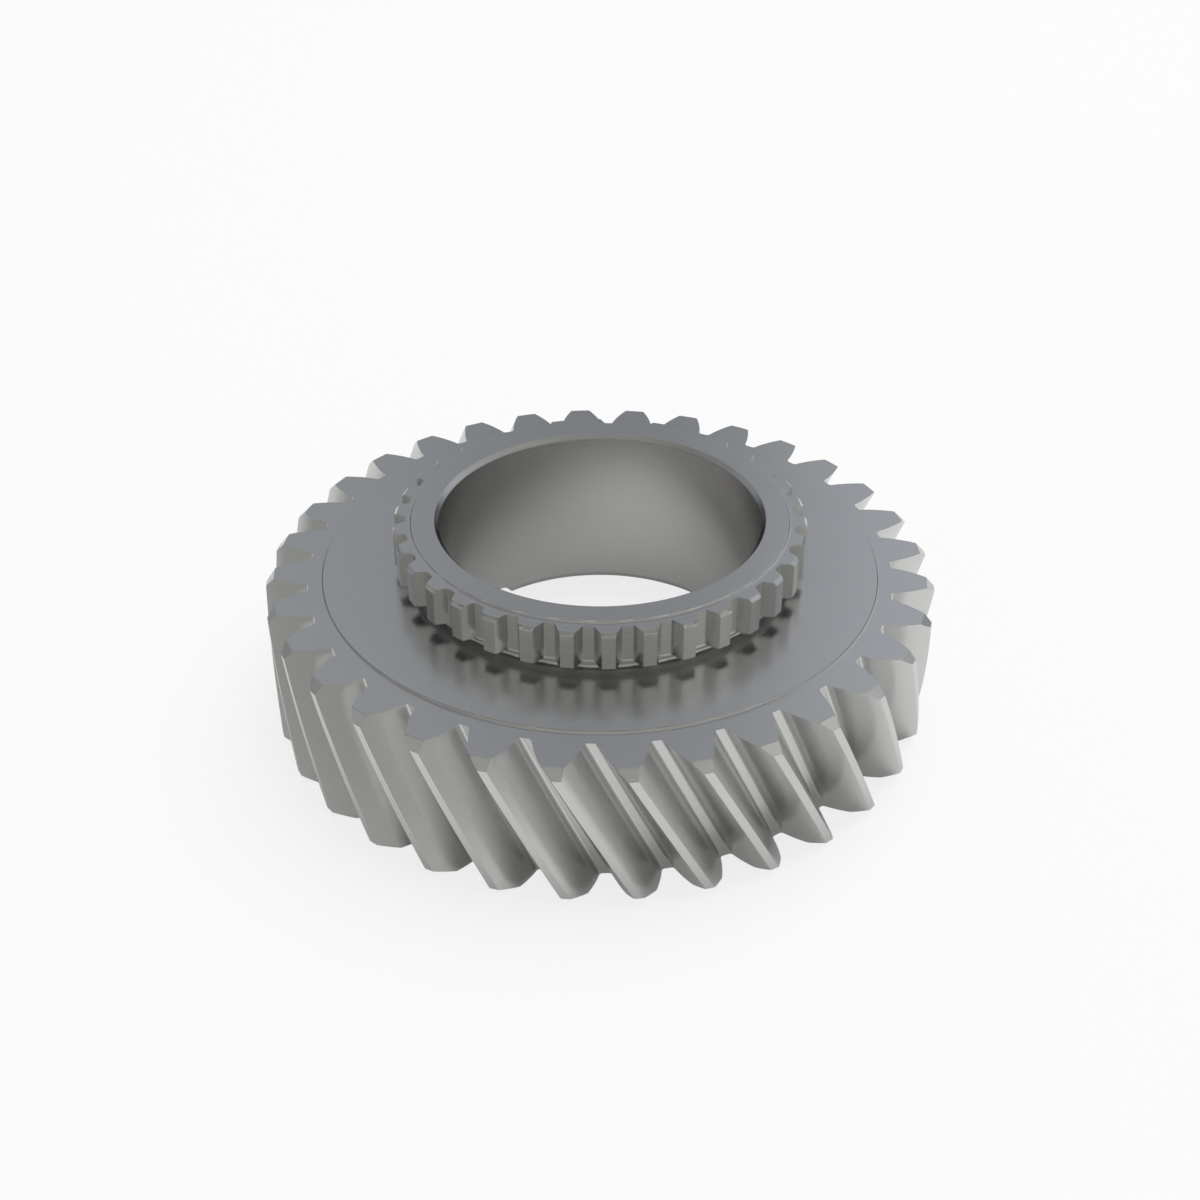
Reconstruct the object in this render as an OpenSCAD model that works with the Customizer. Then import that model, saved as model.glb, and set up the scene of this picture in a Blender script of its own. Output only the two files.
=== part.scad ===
// Helical transmission gear with a clutch tooth ring, one solid turned and hobbed from a steel forging.
// The axis is Z. The gear stands on the lower face of its rim, at z = 0.

/* [Main teeth] */
// Number of helical teeth
main_teeth = 32; // [28:1:38]
// Normal module of the helical teeth
main_module = 4; // [3.7:0.05:4.5]
// Normal pressure angle of the helical teeth
main_pressure_angle = 21; // [18:0.5:22]
// Helix angle at the pitch circle, left-hand
helix_angle = 26; // [16:1:30]
// Profile shift, in modules
main_shift = 0.5; // [0.3:0.05:0.6]
// Tooth height above the pitch circle, in modules, without the shift
main_addendum = 1.07; // [0.9:0.01:1.15]
// Tooth depth below the pitch circle, in modules, without the shift
main_dedendum = 1.4; // [1.2:0.01:1.45]
// Metal taken off each flank at the tip, which eases the teeth into mesh
tip_relief = 0.24; // [0.05:0.01:0.4]
// Fillet radius at the foot of the helical teeth
root_fillet = 0.8; // [0.4:0.05:1]
// Chamfer on the upper end of each tooth tip
upper_chamfer = 2; // [0.5:0.1:3]
// Radial width of the chamfer on the lower end of each tooth tip
lower_chamfer_width = 3.9; // [1:0.1:5]
// Height of the chamfer on the lower end of each tooth tip
lower_chamfer_height = 1.8; // [0.5:0.1:3]
// Angle of one tooth's middle at the upper face of the rim
main_clocking = 4.1; // [0:0.1:11.2]

/* [Rim and web] */
// Face width of the helical teeth
rim_width = 35.3; // [30:0.1:45]
// Land between the tooth roots and the raised web face
rim_land = 3.4; // [2:0.1:5]
// Height of the web face above the upper face of the rim
web_rise = 0.7; // [0.3:0.1:1.5]
// Wall between the tooth roots and the recess in the underside
rim_wall = 6.6; // [5:0.1:9]
// Fillet radius in the corners of the underside recess
recess_fillet = 2.5; // [1:0.1:3]
// Edge break on the inner edge of the rim's lower face
rim_edge_break = 0.6; // [0.3:0.1:1.5]

/* [Hub and bore] */
// Bore for the needle bearing
bore_d = 74; // [70:0.1:76]
// Radial width of the chamfers at both ends of the bore
bore_chamfer = 1; // [0.5:0.1:2]
// Height of the chamfer at the upper end of the bore
bore_chamfer_height = 1.15; // [0.5:0.05:2.5]
// Height of the chamfer at the lower end of the bore
bore_lead_in = 1.5; // [0.8:0.1:2.5]
// Diameter of the raised thrust face on top of the hub
hub_face_d = 86.6; // [84:0.1:87]
// Height of the thrust face above the clutch teeth
hub_face_rise = 0.55; // [0.2:0.05:1]
// Height of the lower thrust face above the rim's lower face
seat_height = 6.3; // [4:0.1:10]
// Diameter of the lower thrust face
seat_d = 92; // [86:0.1:98]
// Height of the lower thrust face below the recess floor
seat_rise = 3.2; // [3.2:0.1:6]

/* [Oil grooves] */
// Number of oil grooves across the lower thrust face
groove_count = 3; // [2:1:4]
// Radius of the cutter that makes the oil grooves
groove_cutter_r = 5.5; // [4:0.1:7]
// Depth of the oil grooves
groove_depth = 3.1; // [2:0.1:3.1]
// Angle of the first oil groove
groove_clocking = 14.3; // [0:0.1:60]

/* [Clutch ring] */
// Number of clutch teeth
clutch_teeth = 34; // [30:1:38]
// Tip diameter of the clutch teeth
clutch_tip_d = 95; // [94:0.1:98]
// Root diameter of the clutch teeth
clutch_root_d = 89.2; // [88.4:0.1:90]
// Width of a clutch tooth at its tip
clutch_tip_width = 2.9; // [2.4:0.05:3.2]
// Pressure angle of the clutch teeth at their tip
clutch_pressure_angle = 32; // [26:0.5:34]
// Length of the clutch teeth along the axis
clutch_length = 9; // [7:0.1:12]
// Chamfer on the upper end of each clutch tooth tip
clutch_chamfer = 0.7; // [0.3:0.05:1.2]
// Fillet radius at the foot of the clutch teeth
clutch_fillet = 0.3; // [0.15:0.05:0.5]
// Thickness of the collar between the neck and the clutch teeth
collar_thickness = 0.55; // [0.2:0.05:0.8]
// Diameter of that collar, a little over the root diameter of the clutch teeth
collar_d = 89.5; // [86:0.1:93.9]
// Angle of one clutch tooth's middle
clutch_clocking = 7.5; // [0:0.1:10.5]
// Diameter of the neck under the clutch ring
neck_d = 86; // [82:0.1:87]
// Height of the neck between the web face and the clutch ring
neck_height = 2.8; // [1.5:0.1:5]
// Fillet radius at the foot of the neck
neck_fillet = 0.8; // [0.3:0.1:1.2]

/* [Hidden] */
$fn = 180;

// Degrees in a radian
degree = 180 / PI;
// How far each cut runs past the face that it opens
over = 1;

// Pitch, base, tip and root circles of the helical teeth in the plane across the axis
pitch_r = main_module * main_teeth / cos(helix_angle) / 2;
transverse_angle = atan(tan(main_pressure_angle) / cos(helix_angle));
base_r = pitch_r * cos(transverse_angle);
tip_r = pitch_r + main_module * (main_addendum + main_shift);
root_r = pitch_r - main_module * (main_dedendum - main_shift);
// Turn of the teeth for each millimetre along the axis
twist_rate = -tan(helix_angle) / pitch_r * degree;
// Share of the tooth height, from the tip, that the tip relief covers
relief_share = 0.4;
relief_start_r = tip_r - relief_share * (tip_r - root_r);

// Levels, from the lower face of the rim
web_z = rim_width + web_rise;
clutch_bottom_z = web_z + neck_height;
clutch_top_z = clutch_bottom_z + clutch_length;
top_z = clutch_top_z + hub_face_rise;
recess_z = seat_height + seat_rise;

bore_r = bore_d / 2;
web_face_r = root_r - rim_land;
recess_r = root_r - rim_wall;

// Number of steps up each helical gap, along each flank and round each fillet
gap_slices = 6;
flank_steps = 5;
clutch_flank_steps = 3;
fillet_steps = 3;

// Involute function of a pressure angle, in degrees
function involute(angle) = tan(angle) * degree - angle;

// Half of a helical tooth's angle at a radius, in degrees
function tooth_half_angle(r) =
    90 / main_teeth
    + 2 * main_shift * tan(main_pressure_angle) / main_teeth * degree
    + involute(transverse_angle)
    - involute(acos(min(1, base_r / r)))
    - tip_relief / tip_r * degree * pow(max(0, r - relief_start_r) / (tip_r - relief_start_r), 2);

// Half of a clutch tooth's angle at a radius, in degrees: an involute drawn from the tip width
clutch_tip_r = clutch_tip_d / 2;
clutch_root_r = clutch_root_d / 2;
clutch_base_r = clutch_tip_r * cos(clutch_pressure_angle);
function clutch_half_angle(r) =
    asin(clutch_tip_width / 2 / clutch_tip_r)
    + involute(clutch_pressure_angle)
    - involute(acos(min(1, clutch_base_r / r)));

function polar(r, angle) = [r * cos(angle), r * sin(angle)];
function unit(v) = v / norm(v);
function reverse(list) = [for (i = [len(list) - 1:-1:0]) list[i]];

// Points from a tooth's foot to the middle of the root land: the foot of the flank runs along a line from
// its point on the root circle towards a higher point, and the fillet touches that line and the root circle
function foot_points(foot, higher, circle_r, fillet) =
    let (
        along = unit(higher - foot),
        inward = [along[1], -along[0]],
        start = foot + fillet * inward,
        reach = start * along,
        slide = sqrt(reach * reach - start * start + pow(circle_r + fillet, 2)) - reach,
        centre = start + slide * along,
        first = atan2(-inward[1], -inward[0]),
        last = atan2(-centre[1], -centre[0]) + 360
    )
    [for (i = [0:fillet_steps]) centre + polar(fillet, first + (last - first) * i / fillet_steps)];

// Outline of a gap whose middle lies along +X, from the outer end of one flank, down to the root and up again
function gap_outline(flank, circle_r, fillet) =
    let (
        last = len(flank) - 1,
        foot = foot_points(flank[last], flank[last - 1], circle_r, fillet),
        half = concat([for (i = [0:last - 1]) flank[i]], foot)
    )
    concat(half, [for (p = reverse(half)) [p[0], -p[1]]]);

// Radii in even steps from just outside the tip to the root, so that none lies on the tip itself
function radii(tip, root, steps) = [for (i = [0:steps]) tip + over + (root - tip - over) * i / steps];

helical_outline = gap_outline(
    [for (r = radii(tip_r, root_r, flank_steps)) polar(r, 180 / main_teeth - tooth_half_angle(r))],
    root_r, root_fillet
);
clutch_outline = gap_outline(
    [for (r = radii(clutch_tip_r, clutch_root_r, clutch_flank_steps))
        polar(r, 180 / clutch_teeth - clutch_half_angle(r))],
    clutch_root_r, clutch_fillet
);

// The outline swept up the helix. The turn is nought at the upper face of the rim
module helical_gap() {
    count = len(helical_outline);
    levels = [for (s = [0:gap_slices]) -over + (rim_width + 2 * over) * s / gap_slices];
    function turned(p, angle) = [p[0] * cos(angle) - p[1] * sin(angle), p[0] * sin(angle) + p[1] * cos(angle)];
    points = [for (z = levels, p = helical_outline)
        let (q = turned(p, twist_rate * (z - rim_width))) [q[0], q[1], z]];
    half = count / 2;
    walls = [for (s = [0:gap_slices - 1], i = [0:count - 1])
        let (a = s * count + i, b = s * count + (i + 1) % count)
        each [[a, a + count, b + count], [a, b + count, b]]];
    // Each end is a ladder of strips between the two flanks
    ladder = [for (i = [0:half - 2])
        each [[i, i + 1, count - 1 - i], [i + 1, count - 2 - i, count - 1 - i]]];
    top = [for (f = ladder) [for (k = [2:-1:0]) f[k] + gap_slices * count]];
    polyhedron(points = points, faces = concat(walls, ladder, top), convexity = 4);
}

module helical_gaps() {
    for (i = [0:main_teeth - 1])
        rotate(main_clocking + (i + 0.5) * 360 / main_teeth)
            helical_gap();
}

// Each clutch gap runs right through the clutch ring
module clutch_gaps() {
    for (i = [0:clutch_teeth - 1])
        rotate(clutch_clocking + (i + 0.5) * 360 / clutch_teeth)
            translate([0, 0, clutch_bottom_z - over])
                linear_extrude(clutch_length + 2 * over)
                    polygon(clutch_outline);
}

// Ring under the clutch teeth. Its wall reaches a little way up into them, and its top slopes in at 45 degrees,
// so that it crosses the root circle and ends inside the metal
module collar() {
    collar_r = collar_d / 2;
    inner_r = neck_d / 2 - over;
    wall_top_z = clutch_bottom_z + over / 10;
    rotate_extrude()
        polygon([
            [inner_r, clutch_bottom_z - collar_thickness],
            [collar_r, clutch_bottom_z - collar_thickness],
            [collar_r, wall_top_z],
            [inner_r, wall_top_z + collar_r - inner_r]
        ]);
}

// Concave quarter fillet in a corner that opens towards +X and towards up (1) or down (-1)
module corner_fillet(r, up) {
    difference() {
        translate([-over / 10, up > 0 ? -over / 10 : -r])
            square([r + over / 10, r + over / 10]);
        translate([r, up * r])
            circle(r);
    }
}

// Half section of the turned blank
module blank_section() {
    hub_face_r = hub_face_d / 2;
    polygon([
        [bore_r, seat_height + bore_lead_in],
        [bore_r + bore_chamfer, seat_height],
        [seat_d / 2, seat_height],
        [seat_d / 2, recess_z],
        [recess_r, recess_z],
        [recess_r, rim_edge_break],
        [recess_r + rim_edge_break, 0],
        [tip_r - lower_chamfer_width, 0],
        [tip_r, lower_chamfer_height],
        [tip_r, rim_width - upper_chamfer],
        [tip_r - upper_chamfer, rim_width],
        [web_face_r, rim_width],
        [web_face_r, web_z],
        [neck_d / 2, web_z],
        [neck_d / 2, clutch_bottom_z],
        [clutch_tip_r, clutch_bottom_z],
        [clutch_tip_r, clutch_top_z - clutch_chamfer],
        [clutch_tip_r - clutch_chamfer, clutch_top_z],
        [hub_face_r, clutch_top_z],
        [hub_face_r, top_z],
        [bore_r + bore_chamfer, top_z],
        [bore_r, top_z - bore_chamfer_height]
    ]);
    translate([web_face_r, rim_width])
        corner_fillet(web_rise, 1);
    translate([neck_d / 2, web_z])
        corner_fillet(neck_fillet, 1);
    translate([hub_face_r, clutch_top_z])
        corner_fillet(hub_face_rise, 1);
    translate([seat_d / 2, recess_z])
        corner_fillet(recess_fillet, -1);
    translate([recess_r, recess_z])
        mirror([1, 0])
            corner_fillet(recess_fillet, -1);
}

// Each groove runs from inside the bore to beyond the fillet at the foot of the lower thrust face
module oil_grooves() {
    start_r = bore_r - 2 * over;
    end_r = seat_d / 2 + recess_fillet + over;
    for (i = [0:groove_count - 1])
        rotate(groove_clocking + i * 360 / groove_count)
            translate([start_r, 0, seat_height + groove_depth - groove_cutter_r])
                rotate([0, 90, 0])
                    cylinder(h = end_r - start_r, r = groove_cutter_r);
}

module gear_wheel() {
    color("slategray")
        difference() {
            union() {
                difference() {
                    rotate_extrude()
                        blank_section();
                    clutch_gaps();
                }
                collar();
            }
            helical_gaps();
            oil_grooves();
        }
}

gear_wheel();
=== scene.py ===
# %% [markdown]
# A helical gear wheel with clutch teeth, on a white studio floor.
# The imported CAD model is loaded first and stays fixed. It says where the gear is and how large it is, so
# the finished mesh that this lesson makes goes to the same place with no fitting.

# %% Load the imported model
import math

import bmesh
import bpy
from mathutils import Matrix, Vector


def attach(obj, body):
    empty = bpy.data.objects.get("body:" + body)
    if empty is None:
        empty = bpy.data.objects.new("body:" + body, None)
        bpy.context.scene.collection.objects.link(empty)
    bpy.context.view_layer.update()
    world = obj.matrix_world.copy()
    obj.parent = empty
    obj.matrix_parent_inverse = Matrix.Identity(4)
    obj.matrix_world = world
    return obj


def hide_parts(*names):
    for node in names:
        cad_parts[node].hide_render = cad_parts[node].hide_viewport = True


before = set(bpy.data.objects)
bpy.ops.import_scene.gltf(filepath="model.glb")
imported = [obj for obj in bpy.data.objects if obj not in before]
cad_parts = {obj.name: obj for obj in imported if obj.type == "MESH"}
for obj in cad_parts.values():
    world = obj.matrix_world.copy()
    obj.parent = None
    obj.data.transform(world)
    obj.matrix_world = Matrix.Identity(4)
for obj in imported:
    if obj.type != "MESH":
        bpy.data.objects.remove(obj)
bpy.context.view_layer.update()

# %% [markdown]
# The camera stands where the photo was taken from: 39 cm away and 34 degrees above the horizon. Its place was
# fitted to the edges of the gear's round faces, and it looks at a point on the axis.

# %% Set up the camera
view_angle = math.radians(40)
camera_rise = math.radians(34.173)
camera_distance = 0.39204
camera_target = Vector((0, 0, 0.024146))

camera_data = bpy.data.cameras.new("photo_camera")
camera_data.angle = view_angle
camera_data.clip_start = 0.01
camera = bpy.data.objects.new("photo_camera", camera_data)
back_along_view = Vector((0, -math.cos(camera_rise), math.sin(camera_rise)))
camera.location = camera_target + camera_distance * back_along_view
camera.rotation_euler = (math.pi / 2 - camera_rise, 0, 0)
bpy.context.scene.collection.objects.link(camera)
bpy.context.scene.camera = camera
print("camera at", tuple(round(v, 4) for v in camera.location))

# %% [markdown]
# A gear cutter's drawing gives a few sizes, and everything else follows from them. They are written once
# here, in millimetres, with angles given in degrees.

# %% Sizes of the helical teeth
main_teeth = 32
main_module = 4
main_pressure_angle = math.radians(21)
helix_angle = math.radians(26)
main_shift = 0.5
main_addendum = 1.07
main_dedendum = 1.4
tip_relief = 0.24
relief_share = 0.4
root_fillet = 0.8
main_clocking = math.radians(4.1)

pitch_r = main_module * main_teeth / math.cos(helix_angle) / 2
transverse_angle = math.atan(math.tan(main_pressure_angle) / math.cos(helix_angle))
base_r = pitch_r * math.cos(transverse_angle)
tip_r = pitch_r + main_module * (main_addendum + main_shift)
root_r = pitch_r - main_module * (main_dedendum - main_shift)
relief_start_r = tip_r - relief_share * (tip_r - root_r)
twist_rate = -math.tan(helix_angle) / pitch_r
print(f"tip radius {tip_r:.2f} mm, root radius {root_r:.2f} mm")

# %% Sizes of the rim, the web, the hub and the bore
upper_chamfer = 2
lower_chamfer_width = 3.9
lower_chamfer_height = 1.8
rim_width = 35.3
rim_land = 3.4
web_rise = 0.7
rim_wall = 6.6
recess_fillet = 2.5
rim_edge_break = 0.6
bore_r = 37
bore_chamfer = 1
bore_chamfer_height = 1.15
bore_lead_in = 1.5
hub_face_r = 43.3
hub_face_rise = 0.55
seat_height = 6.3
seat_r = 46
seat_rise = 3.2

web_z = rim_width + web_rise
web_face_r = root_r - rim_land
recess_r = root_r - rim_wall
recess_z = seat_height + seat_rise
print(f"web face at {web_z:.1f} mm, out to a radius of {web_face_r:.2f} mm")

# %% Sizes of the clutch ring and the oil grooves
clutch_teeth = 34
clutch_tip_r = 47.5
clutch_root_r = 44.6
clutch_tip_width = 2.9
clutch_pressure_angle = math.radians(32)
clutch_length = 9
clutch_chamfer = 0.7
clutch_fillet = 0.3
clutch_clocking = math.radians(7.5)
collar_r = 44.75
collar_thickness = 0.55
neck_r = 43
neck_height = 2.8
neck_fillet = 0.8
groove_count = 3
groove_cutter_r = 5.5
groove_depth = 3.1
groove_clocking = math.radians(14.3)

clutch_bottom_z = web_z + neck_height
clutch_top_z = clutch_bottom_z + clutch_length
top_z = clutch_top_z + hub_face_rise
print(f"top of the hub at {top_z:.2f} mm")

# %% [markdown]
# A gear starts as a turned blank, so the mesh starts the same way. Half of the blank's section is one flat
# face of a few corners. Each corner is rounded while it is still flat, which is far easier than rounding it
# on the finished wheel, and then the outline is spun once round the axis.

# %% Draw the half section of the blank
# Each corner is a radius, a height and how far its rounding reaches along both edges
crisp = 0.05
worn = 0.09
section = [
    (bore_r, seat_height + bore_lead_in, crisp),
    (bore_r + bore_chamfer, seat_height, crisp),
    (seat_r, seat_height, 0.3),
    (seat_r, recess_z, recess_fillet),
    (recess_r, recess_z, recess_fillet),
    (recess_r, rim_edge_break, worn),
    (recess_r + rim_edge_break, 0, worn),
    (tip_r - lower_chamfer_width, 0, worn),
    (tip_r, lower_chamfer_height, worn),
    (tip_r, rim_width - upper_chamfer, worn),
    (tip_r - upper_chamfer, rim_width, worn),
    (web_face_r, rim_width, 0.52),
    (web_face_r, web_z, worn),
    (neck_r, web_z, neck_fillet),
    (neck_r, clutch_bottom_z, 0.3),
    (clutch_tip_r, clutch_bottom_z, worn),
    (clutch_tip_r, clutch_top_z - clutch_chamfer, crisp),
    (clutch_tip_r - clutch_chamfer, clutch_top_z, crisp),
    (hub_face_r, clutch_top_z, 0.4),
    (hub_face_r, top_z, 0.11),
    (bore_r + bore_chamfer, top_z, crisp),
    (bore_r, top_z - bore_chamfer_height, crisp),
]
rounding_segments = 4
round_segments = 384
merge_mm = 1e-4
print("corners in the half section:", len(section))

# %% Round the corners and spin the section into the blank


def turned(section, segments):
    """A solid of revolution in millimetres, from a half section with rounded corners."""
    bm = bmesh.new()
    corners = [bm.verts.new((r, 0, z)) for r, z, reach in section]
    bm.faces.new(corners)
    for reach in sorted({reach for r, z, reach in section if reach > 0}):
        bmesh.ops.bevel(
            bm,
            geom=[v for v, (r, z, its_reach) in zip(corners, section) if its_reach == reach],
            offset=reach,
            offset_type="OFFSET",
            segments=segments,
            profile=0.5,
            affect="VERTICES",
            material=-1,
        )
    bmesh.ops.delete(bm, geom=list(bm.faces), context="FACES_ONLY")
    bmesh.ops.spin(
        bm,
        geom=list(bm.verts) + list(bm.edges),
        cent=(0, 0, 0),
        axis=(0, 0, 1),
        angle=2 * math.pi,
        steps=round_segments,
        use_merge=True,
    )
    bmesh.ops.remove_doubles(bm, verts=list(bm.verts), dist=merge_mm)
    bmesh.ops.recalc_face_normals(bm, faces=list(bm.faces))
    return bm


def to_object(bm, name):
    """An object at the origin from a bmesh in millimetres. Blender's unit is the metre."""
    bmesh.ops.scale(bm, vec=(0.001, 0.001, 0.001), verts=list(bm.verts))
    mesh = bpy.data.meshes.new(name)
    bm.to_mesh(mesh)
    bm.free()
    made = bpy.data.objects.new(name, mesh)
    bpy.context.scene.collection.objects.link(made)
    return made


blank = to_object(turned(section, rounding_segments), "helical_gear_wheel")
print("faces in the blank:", len(blank.data.polygons))

# %% [markdown]
# A hob cuts the gaps, not the teeth, so the mesh is cut by gaps too. The side of a gear tooth is an
# involute: the curve that the end of a taut string draws as it unwinds from a circle. No operator draws one,
# so its formula does, and a small arc leads from its foot into the bottom of the gap.

# %% The curve of a tooth's side


def involute(angle):
    return math.tan(angle) - angle


def helical_tooth_half_angle(r):
    """Half of a helical tooth's angle at a radius. The tip is eased off a little, so teeth mesh quietly."""
    eased = max(0, r - relief_start_r) / (tip_r - relief_start_r)
    return (
        math.pi / 2 / main_teeth
        + 2 * main_shift * math.tan(main_pressure_angle) / main_teeth
        + involute(transverse_angle)
        - involute(math.acos(min(1, base_r / r)))
        - tip_relief / tip_r * eased**2
    )


def clutch_tooth_half_angle(r):
    """Half of a clutch tooth's angle at a radius, drawn from the width of its tip."""
    clutch_base_r = clutch_tip_r * math.cos(clutch_pressure_angle)
    return (
        math.asin(clutch_tip_width / 2 / clutch_tip_r)
        + involute(clutch_pressure_angle)
        - involute(math.acos(min(1, clutch_base_r / r)))
    )


print(f"a helical tooth is {2 * tip_r * helical_tooth_half_angle(tip_r):.2f} mm wide at its tip")

# %% Outline of a gap
beyond = 1
helical_side_steps = 12
clutch_side_steps = 6
fillet_steps = 6


def foot_arc(foot, higher, circle_r, fillet):
    """Points of the arc that touches the foot of a side and the circle at the bottom of the gap."""
    along = (higher - foot).normalized()
    inward = Vector((along.y, -along.x))
    start = foot + fillet * inward
    reach = start.dot(along)
    slide = math.sqrt(reach**2 - start.dot(start) + (circle_r + fillet) ** 2) - reach
    centre = start + slide * along
    first = math.atan2(-inward.y, -inward.x)
    last = math.atan2(-centre.y, -centre.x) + 2 * math.pi
    turns = [first + (last - first) * i / fillet_steps for i in range(fillet_steps + 1)]
    return [centre + fillet * Vector((math.cos(t), math.sin(t))) for t in turns]


def gap_outline(tip, root, tooth_count, half_angle, fillet, side_steps):
    """Outline of a gap round +X, from the outer end of one side, down to the bottom and up again."""
    side = []
    for i in range(side_steps + 1):
        r = tip + beyond + (root - tip - beyond) * i / side_steps
        turn = math.pi / tooth_count - half_angle(r)
        side.append(Vector((r * math.cos(turn), r * math.sin(turn))))
    half = side[:-1] + foot_arc(side[-1], side[-2], root, fillet)
    return half + [Vector((p.x, -p.y)) for p in reversed(half)]


helical_outline = gap_outline(
    tip_r, root_r, main_teeth, helical_tooth_half_angle, root_fillet, helical_side_steps
)
clutch_outline = gap_outline(
    clutch_tip_r, clutch_root_r, clutch_teeth, clutch_tooth_half_angle, clutch_fillet, clutch_side_steps
)
print("points round a helical gap and a clutch gap:", len(helical_outline), len(clutch_outline))

# %% [markdown]
# The outline becomes one solid cutter per gap. Spin can also climb as it turns, which makes a screw: that
# is the helical cutter. The clutch cutter is the same with no turn. Spin with use_duplicate then sets the
# copies round the wheel.

# %% Sweep the outlines into cutters
helical_climb_steps = 18


def sweep(outline, bottom, top, turn_per_mm, zero_turn_z, steps):
    """A closed cutter with the outline at every height, turned about the axis as it climbs."""
    bm = bmesh.new()
    bm.faces.new([bm.verts.new((p.x, p.y, bottom)) for p in outline])
    start_turn = Matrix.Rotation(turn_per_mm * (bottom - zero_turn_z), 3, "Z")
    bmesh.ops.rotate(bm, cent=(0, 0, 0), matrix=start_turn, verts=list(bm.verts))
    bmesh.ops.spin(
        bm,
        geom=list(bm.faces),
        cent=(0, 0, 0),
        axis=(0, 0, 1),
        dvec=(0, 0, (top - bottom) / steps),
        angle=turn_per_mm * (top - bottom),
        steps=steps,
    )
    return bm


def set_round(bm, count, first_turn):
    """Copies of the cutter, evenly spaced round the axis."""
    first = Matrix.Rotation(first_turn, 3, "Z")
    bmesh.ops.rotate(bm, cent=(0, 0, 0), matrix=first, verts=list(bm.verts))
    bmesh.ops.spin(
        bm,
        geom=list(bm.verts) + list(bm.edges) + list(bm.faces),
        cent=(0, 0, 0),
        axis=(0, 0, 1),
        angle=2 * math.pi * (count - 1) / count,
        steps=count - 1,
        use_duplicate=True,
    )
    bmesh.ops.recalc_face_normals(bm, faces=list(bm.faces))


helical_bm = sweep(
    helical_outline, -beyond, rim_width + beyond, twist_rate, rim_width, helical_climb_steps
)
set_round(helical_bm, main_teeth, main_clocking + math.pi / main_teeth)
helical_cutter = to_object(helical_bm, "helical_cutter")

clutch_bm = sweep(clutch_outline, clutch_bottom_z - beyond, clutch_top_z + beyond, 0, 0, 1)
set_round(clutch_bm, clutch_teeth, clutch_clocking + math.pi / clutch_teeth)
clutch_cutter = to_object(clutch_bm, "clutch_cutter")
print("faces in the cutters:", len(helical_cutter.data.polygons), len(clutch_cutter.data.polygons))

# %% [markdown]
# Under the clutch teeth, their root circle runs on as a short plain collar. Its top slopes in and ends
# inside the metal, so it joins the ring without two faces in the same plane.

# %% Collar
collar_lap = 0.1
collar_rounding_segments = 2
collar_inner_r = neck_r - beyond
collar_low_z = clutch_bottom_z - collar_thickness
collar_wall_top_z = clutch_bottom_z + collar_lap
collar_section = [
    (collar_inner_r, collar_low_z, 0),
    (collar_r, collar_low_z, crisp),
    (collar_r, collar_wall_top_z, crisp),
    (collar_inner_r, collar_wall_top_z + collar_r - collar_inner_r, 0),
]
collar = to_object(turned(collar_section, collar_rounding_segments), "collar")
print("collar radius", collar_r, "mm")

# %% [markdown]
# The oil grooves under the hub are the path of a round cutter, so a cylinder cuts them.

# %% Oil groove cutters
groove_bm = bmesh.new()
groove_segments = 96
groove_start = bore_r - 2 * beyond
groove_end = seat_r + recess_fillet + beyond
groove_middle = ((groove_start + groove_end) / 2, 0, seat_height + groove_depth - groove_cutter_r)
lie_along_x = Matrix.Rotation(math.pi / 2, 4, "Y")
bmesh.ops.create_cone(
    groove_bm,
    cap_ends=True,
    segments=groove_segments,
    radius1=groove_cutter_r,
    radius2=groove_cutter_r,
    depth=groove_end - groove_start,
    matrix=Matrix.Translation(groove_middle) @ lie_along_x,
)
set_round(groove_bm, groove_count, groove_clocking)
groove_cutter = to_object(groove_bm, "groove_cutter")
print("oil grooves:", groove_count)

# %% [markdown]
# Boolean modifiers do the work in turn: clutch gaps, collar, helical gaps, oil grooves. The collar comes
# after the clutch gaps, or they would cut it. The result is read back as a plain mesh, and the cutters go.

# %% Cut the blank
tools = (
    (clutch_cutter, "DIFFERENCE"),
    (collar, "UNION"),
    (helical_cutter, "DIFFERENCE"),
    (groove_cutter, "DIFFERENCE"),
)
for tool, operation in tools:
    cut = blank.modifiers.new(tool.name, "BOOLEAN")
    cut.object = tool
    cut.operation = operation
    cut.solver = "MANIFOLD"

depsgraph = bpy.context.evaluated_depsgraph_get()
cut_mesh = bpy.data.meshes.new_from_object(blank.evaluated_get(depsgraph))
blank.modifiers.clear()
blank.data = cut_mesh
for tool, operation in tools:
    bpy.data.objects.remove(tool)
print("faces after cutting:", len(cut_mesh.polygons))

# %% [markdown]
# The real gear is smooth where a cutter swept and sharp where two cuts meet. So every face is shaded smooth,
# each edge that bends more than a set angle is marked sharp, and weighted normals keep the flat faces flat.

# %% Smooth the curved faces and keep the corners sharp
corner_angle = math.radians(28)
merge_m = 1e-6
gear_bm = bmesh.new()
gear_bm.from_mesh(cut_mesh)
bmesh.ops.remove_doubles(gear_bm, verts=list(gear_bm.verts), dist=merge_m)
for face in gear_bm.faces:
    face.smooth = True
for edge in gear_bm.edges:
    edge.smooth = edge.calc_face_angle(0) < corner_angle
open_edges = sum(1 for edge in gear_bm.edges if not edge.is_manifold)
gear_bm.to_mesh(cut_mesh)
gear_bm.free()
print("open edges:", open_edges)

weighted = blank.modifiers.new("weighted_normals", "WEIGHTED_NORMAL")
weighted.mode = "FACE_AREA"
weighted.keep_sharp = True

# %% [markdown]
# Shader maths reads better as sums than as a tangle of nodes. This small class wraps a socket, so that
# adding or multiplying two of them adds the Math node that does it. Every node is made by one function.

# %% A socket that can be calculated with


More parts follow.
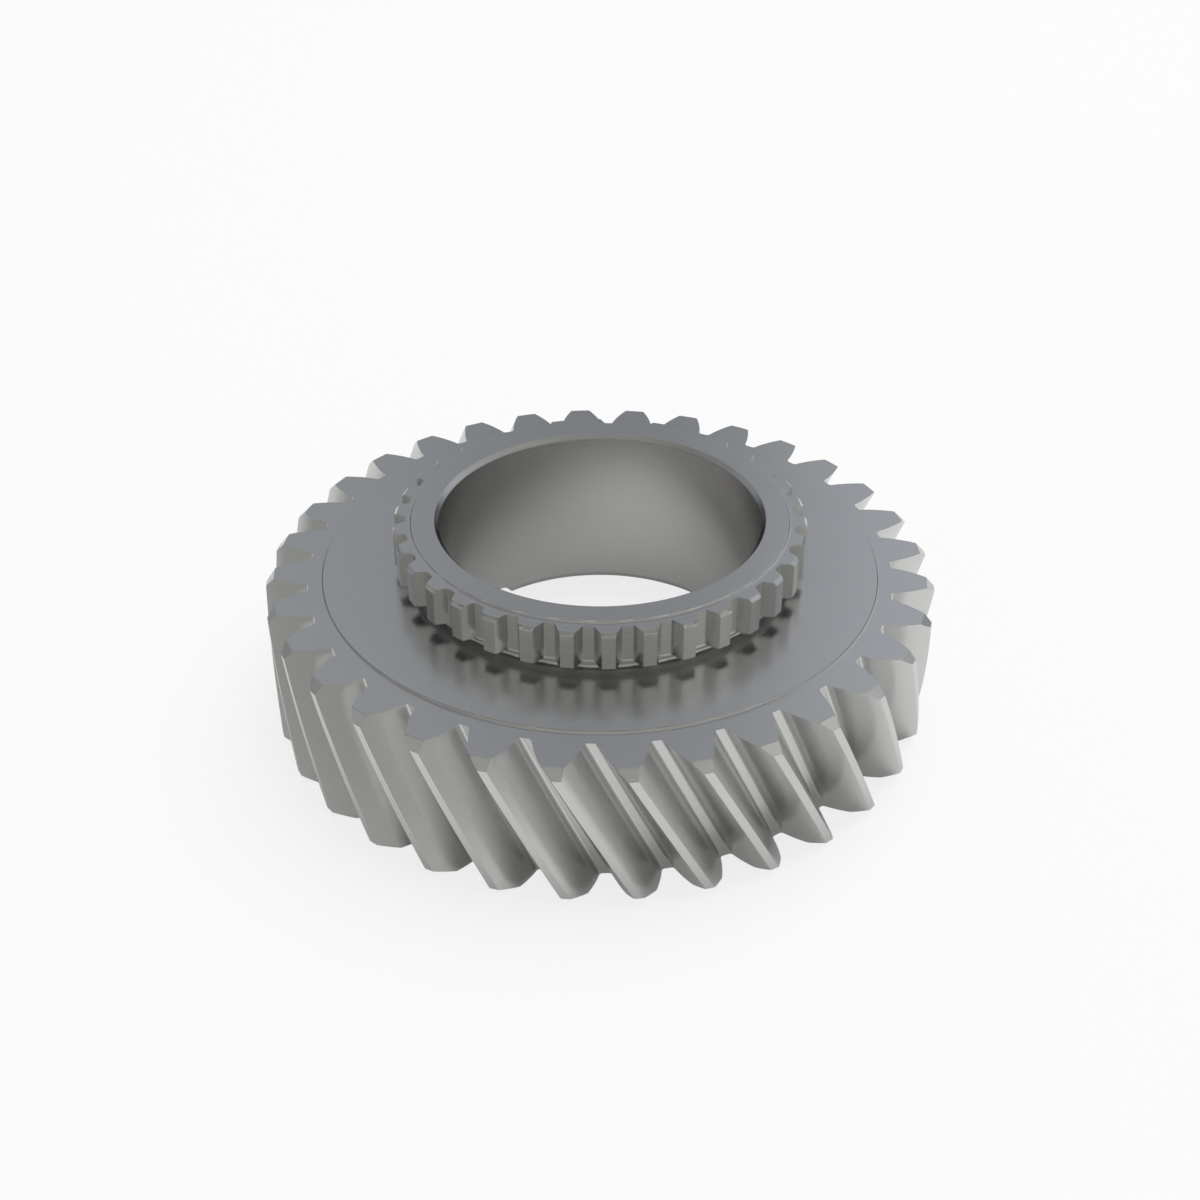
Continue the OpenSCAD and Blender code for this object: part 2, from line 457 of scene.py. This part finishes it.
def add_node(tree, kind, settings=None, inputs=None, output=0):
    """Adds a node, sets its settings and then feeds its inputs with plain values or with other sockets."""
    made = tree.nodes.new(kind)
    for name, value in (settings or {}).items():
        setattr(made, name, value)
    for name, source in (inputs or {}).items():
        if isinstance(source, Value):
            tree.links.new(source.socket, made.inputs[name])
        else:
            made.inputs[name].default_value = source
    return Value(tree, made.outputs[output]) if len(made.outputs) else None


class Value:
    """An output socket in a node tree, with Python's operators for its maths."""

    def __init__(self, tree, socket):
        self.tree = tree
        self.socket = socket

    def twin(self, name):
        """Another output of the same node."""
        return Value(self.tree, self.socket.node.outputs[name])

    def maths(self, operation, first, second=0.0):
        return add_node(self.tree, "ShaderNodeMath", {"operation": operation}, {0: first, 1: second})

    def __add__(self, other):
        return self.maths("ADD", self, other)

    def __radd__(self, other):
        return self.maths("ADD", other, self)

    def __sub__(self, other):
        return self.maths("SUBTRACT", self, other)

    def __rsub__(self, other):
        return self.maths("SUBTRACT", other, self)

    def __mul__(self, other):
        return self.maths("MULTIPLY", self, other)

    def __rmul__(self, other):
        return self.maths("MULTIPLY", other, self)

    def root(self):
        return self.maths("SQRT", self)

    def rises(self, low, high):
        """0 below low, 1 above high and a smooth rise between them."""
        return add_node(
            self.tree,
            "ShaderNodeMapRange",
            {"interpolation_type": "SMOOTHSTEP"},
            {"Value": self, "From Min": low, "From Max": high},
        )


def mix_colours(tree, share, first, second):
    """A colour between two others. Inputs 6 and 7 and output 2 are the Mix node's colour sockets."""
    return add_node(tree, "ShaderNodeMix", {"data_type": "RGBA"}, {0: share, 6: first, 7: second}, 2)


print("socket class ready")

# %% [markdown]
# The steel is turned on its round faces and ground on its teeth. Turning leaves rings that lie at one
# radius or one height, so a noise that depends on those two alone draws them everywhere at once. A slow
# noise in all three directions stands for the thin oil film and handling.

# %% Steel with turned and ground faces
darker_steel = (0.605, 0.605, 0.598, 1)
lighter_steel = (0.680, 0.680, 0.673, 1)
# Painted shade for the bore wall: a darker steel colour that is mixed in there
painted_bore_shade = (0.40, 0.395, 0.39, 1)
bore_shade_share = 0.6
mean_roughness = 0.235
ring_strength = 0.25
ring_depth = 0.000004
steel = bpy.data.materials.new("ground_steel")
steel.use_nodes = True
tree = steel.node_tree
tree.nodes.clear()

place = add_node(tree, "ShaderNodeTexCoord", output="Object")
x = add_node(tree, "ShaderNodeSeparateXYZ", inputs={0: place})
y = x.twin("Y")
z = x.twin("Z")
radius = (x * x + y * y).root()


def noise(where, scale, detail):
    return add_node(tree, "ShaderNodeTexNoise", inputs={"Vector": where, "Scale": scale, "Detail": detail})


# The rings: fine ones from the feed of the tool, and slower ones from its wear
ring_place = add_node(tree, "ShaderNodeCombineXYZ", inputs={"X": radius * 1000, "Y": z * 1000})
fine_rings = noise(ring_place, 9.0, 2.0)
slow_rings = noise(ring_place, 1.1, 2.0)
film = noise(place, 38.0, 3.0)
specks = noise(place, 900.0, 2.0)
print("nodes for the place and the noises:", len(tree.nodes))

# %% Colour, roughness and relief of the steel
roughness = mean_roughness + (film - 0.5) * 0.07 + (slow_rings - 0.5) * 0.05 + (fine_rings - 0.5) * 0.03
tone = 0.5 + (film - 0.5) * 0.5 + (slow_rings - 0.5) * 0.3 + (specks - 0.5) * 0.12
ground_steel = mix_colours(tree, tone, darker_steel, lighter_steel)
# Painted shade: the steel in the bore is painted darker, so the bore wall reads as shaded
in_bore = 1 - radius.rises(0.03705, 0.0373)
steel_colour = mix_colours(tree, in_bore * bore_shade_share, ground_steel, painted_bore_shade)
ring_height = fine_rings + slow_rings * 0.6 + specks * 0.5
bump = add_node(
    tree,
    "ShaderNodeBump",
    inputs={"Strength": ring_strength, "Distance": ring_depth, "Height": ring_height},
)
surface = add_node(
    tree,
    "ShaderNodeBsdfPrincipled",
    inputs={"Metallic": 1.0, "Base Color": steel_colour, "Roughness": roughness, "Normal": bump},
)
add_node(tree, "ShaderNodeOutputMaterial", inputs={"Surface": surface})

blank.data.materials.clear()
blank.data.materials.append(steel)
print("nodes in the steel:", len(tree.nodes))

# %% [markdown]
# The gear lies on a white floor that runs past the edge of the picture, so the floor is also the
# background. Part of what the camera and a mirror see of it is plain white, and the rest is lit paper,
# which keeps the gear's soft shadow.

# %% Floor
floor_half = 6
floor_gap = 0.0002
floor_bm = bmesh.new()
bmesh.ops.create_grid(floor_bm, x_segments=1, y_segments=1, size=floor_half)
bmesh.ops.translate(floor_bm, vec=(0, 0, -floor_gap), verts=list(floor_bm.verts))
floor_mesh = bpy.data.meshes.new("studio_floor")
floor_bm.to_mesh(floor_mesh)
floor_bm.free()
floor = bpy.data.objects.new("studio_floor", floor_mesh)
bpy.context.scene.collection.objects.link(floor)

camera_white = 0.8
mirror_white = 0.12
paper = bpy.data.materials.new("white_paper")
paper.use_nodes = True
sheet = paper.node_tree
sheet.nodes.clear()
lit_paper = add_node(sheet, "ShaderNodeBsdfDiffuse", inputs={"Color": (0.95, 0.95, 0.94, 1)})
plain_white = add_node(sheet, "ShaderNodeEmission", inputs={"Strength": 1.0})
by_camera = add_node(sheet, "ShaderNodeLightPath", output="Is Camera Ray")
by_mirror = by_camera.twin("Is Glossy Ray") + by_camera.twin("Is Transmission Ray")
white_share = by_camera * camera_white + by_mirror * mirror_white
blend = add_node(sheet, "ShaderNodeMixShader", inputs={0: white_share, 1: lit_paper, 2: plain_white})
add_node(sheet, "ShaderNodeOutputMaterial", inputs={"Surface": blend})
floor.data.materials.append(paper)
print("floor size", 2 * floor_half, "m")

# %% [markdown]
# The light is a plain studio: grey walls, brighter on the right, under a darker ceiling that comes down
# behind the gear, with a bright edge where it ends and a lighter patch overhead. The flat top faces mirror
# the ceiling's far end, so its level sets their tone. One large soft lamp lights the floor and throws the
# shadow.

# %% Levels of the studio
wall_level = 0.30
horizon_drop = 0.27
front_gain = 0.06
right_gain = 0.24
ceiling_slope = 0.36
edge_level = 0.28
edge_right_gain = 0.06
far_end_level = 0.177
far_end_upper_gain = 0.05
far_end_left_gain = 0.12
far_end_right_gain = 0.27
ceiling_drop = 0.19
overhead_gain = 0.35
print(f"level of the ceiling's far end: {wall_level + far_end_level - ceiling_drop:.3f}")

# %% World
world = bpy.data.worlds.new("studio")
bpy.context.scene.world = world
world.use_nodes = True
sky = world.node_tree
sky.nodes.clear()

# The parts of a direction, each from -1 to 1
direction = add_node(sky, "ShaderNodeTexCoord", output="Generated")
to_right = add_node(sky, "ShaderNodeSeparateXYZ", inputs={0: direction})
to_back = to_right.twin("Y")
up = to_right.twin("Z")
to_left = to_right * -1
to_front = to_back * -1

# Walls
dark_horizon = to_back.rises(0.5, 0.8) * (1 - up.rises(0.08, 0.26))
walls = wall_level - horizon_drop * dark_horizon + front_gain * to_front.rises(0.1, 0.6)
right_wall = right_gain * to_right.rises(0.25, 0.85) * up.rises(0.0, 0.3)

# Ceiling, its edge, its far end and the patch overhead
nearness = up + to_back * ceiling_slope
ceiling = nearness.rises(0.54, 0.58)
edge_tone = (edge_level + edge_right_gain * to_right.rises(0.0, 0.8)) * (1 - to_back.rises(0.05, 0.3))
ceiling_edge = nearness.rises(0.40, 0.50) * (1 - ceiling) * edge_tone
far_sides = far_end_left_gain * to_left.rises(0.02, 0.16) + far_end_right_gain * to_right.rises(0.04, 0.20)
far_tone = far_end_upper_gain * up.rises(0.58, 0.63) + far_sides + far_end_level
far_end = far_tone * to_back.rises(0.1, 0.6) - ceiling_drop
overhead = overhead_gain * up.rises(0.86, 0.97)
level = walls + right_wall * (1 - ceiling * 0.5) + ceiling_edge + far_end * ceiling + overhead

# Cooler towards the back and a little warmer towards the front
tint = mix_colours(sky, to_back.rises(-0.3, 0.8), (1.01, 1.01, 0.97, 1), (0.95, 0.99, 1.06, 1))
glow = add_node(sky, "ShaderNodeBackground", inputs={"Color": tint, "Strength": level})
add_node(sky, "ShaderNodeOutputWorld", inputs={"Surface": glow})
print("nodes in the world:", len(sky.nodes))

# %% Lamp
lamp_width = 2.0
lamp_watts = 31.0
lamp_data = bpy.data.lights.new("soft_lamp", "AREA")
lamp_data.shape = "SQUARE"
lamp_data.size = lamp_width
lamp_data.energy = lamp_watts
lamp = bpy.data.objects.new("soft_lamp", lamp_data)
lamp.location = (0.6, 0.5, 2.0)
lamp.rotation_euler = (-lamp.location).to_track_quat("-Z", "Y").to_euler()
bpy.context.scene.collection.objects.link(lamp)
# The flat faces would mirror the lamp as a white patch when seen from above
lamp.visible_glossy = False
print("lamp", lamp_watts, "W")

# %% [markdown]
# Standard view transform shows each colour as it is written, which suits a product picture.

# %% Set the view transform and put the new wheel in place of the imported one
bpy.context.scene.view_settings.view_transform = "Standard"

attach(blank, "root")
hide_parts("gear_wheel")
